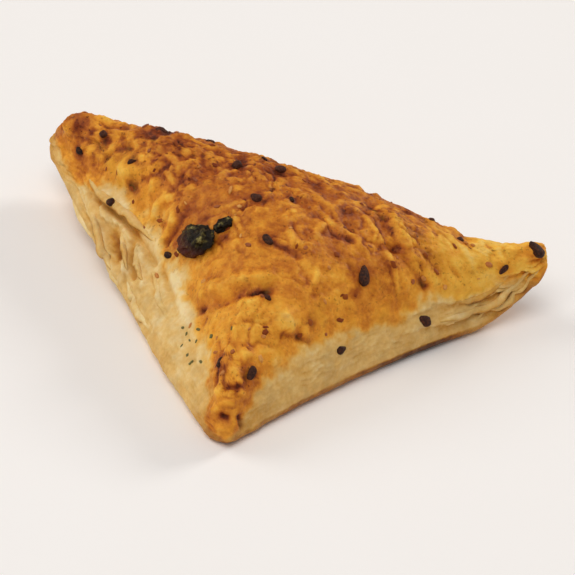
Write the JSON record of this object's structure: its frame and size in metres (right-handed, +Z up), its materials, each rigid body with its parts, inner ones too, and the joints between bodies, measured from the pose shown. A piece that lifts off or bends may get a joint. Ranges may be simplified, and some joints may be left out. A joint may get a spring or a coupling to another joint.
{
  "type": "samosa",
  "caption": "Baked puff-pastry samosa: a filled triangle with a domed, cheese-crusted top scattered with dark seeds, pale flaky sides, curled tips and a flat underside.",
  "frame": {"origin": "middle of the bounding box's underside, on the surface the samosa stands on", "axes": "+Z up; +X along the long back edge, from the left tip to the right tip; the front tip points towards -Y"},
  "size_m": [0.0804, 0.0692, 0.0229],
  "materials": {
    "baked_crust": "golden-brown baked pastry with melted cheese, satin"
  },
  "bodies": {
    "root": {"samosa": "baked_crust"}
  },
  "joints": []
}
